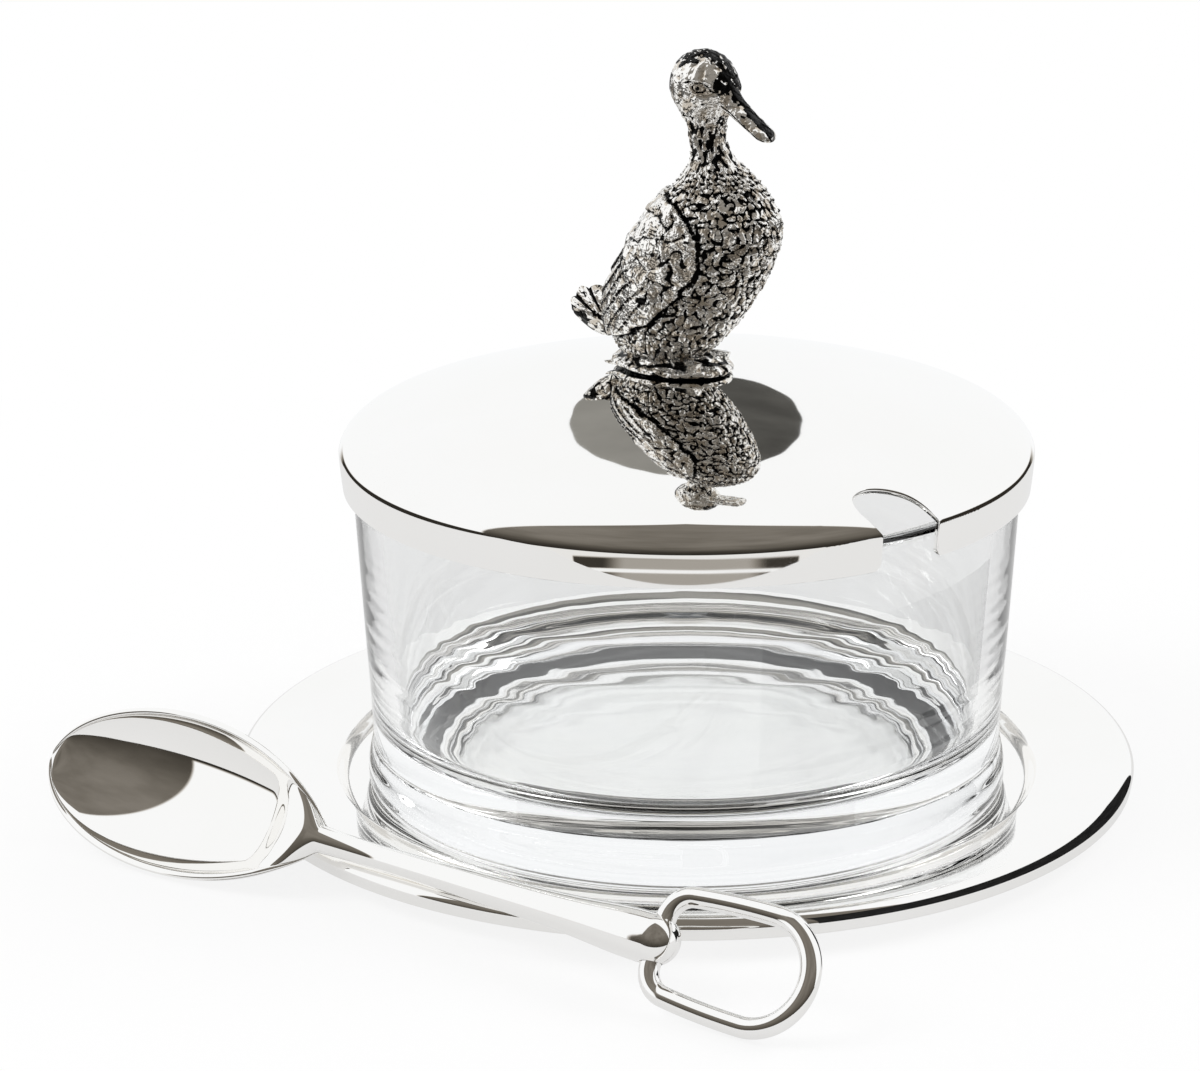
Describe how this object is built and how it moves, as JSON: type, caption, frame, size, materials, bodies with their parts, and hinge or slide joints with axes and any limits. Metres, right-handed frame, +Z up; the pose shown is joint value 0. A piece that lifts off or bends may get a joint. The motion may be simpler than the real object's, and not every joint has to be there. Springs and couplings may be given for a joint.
{
  "type": "jam pot",
  "caption": "Lidded glass jam pot on a silver saucer, with a loose domed lid slotted for a spoon, a cast duck finial and a ring-ended spoon.",
  "frame": {"origin": "middle of the saucer's underside, on the table", "axes": "+Z up, the duck's beak and the lid's spoon slot towards +X and -Y, the spoon lying along the -Y side"},
  "size_m": [0.1672, 0.1685, 0.1173],
  "materials": {
    "silver_plate": "mirror polished silver plate",
    "clear_glass": "clear pressed glass",
    "antique_silver": "cast and oxidised, with polished high spots",
    "zinc_steel": "bright zinc"
  },
  "bodies": {
    "saucer": {"saucer": "silver_plate"},
    "pot": {"glass_pot": "clear_glass"},
    "lid": {"lid": "silver_plate", "duck_finial": "antique_silver", "finial_washer": "zinc_steel", "finial_screw": "zinc_steel"},
    "spoon": {"spoon": "silver_plate"},
    "ring": {"spoon_ring": "silver_plate"}
  },
  "joints": [
    {"name": "pot_lift", "type": "slide", "parent": "saucer", "child": "pot", "axis": [0, 0, 1], "range_m": [0, 0.06]},
    {"name": "lid_lift", "type": "slide", "parent": "pot", "child": "lid", "axis": [0, 0, 1], "range_m": [0, 0.06]},
    {"name": "spoon_lift", "type": "slide", "parent": "saucer", "child": "spoon", "axis": [0, 0, 1], "range_m": [0, 0.06]},
    {"name": "ring_swing", "type": "hinge", "parent": "spoon", "child": "ring", "pos_m": [-0.00374, -0.08246, 0.00878], "axis": [-0.3264, -0.4529, -0.8297], "range_deg": [0, 160]}
  ]
}
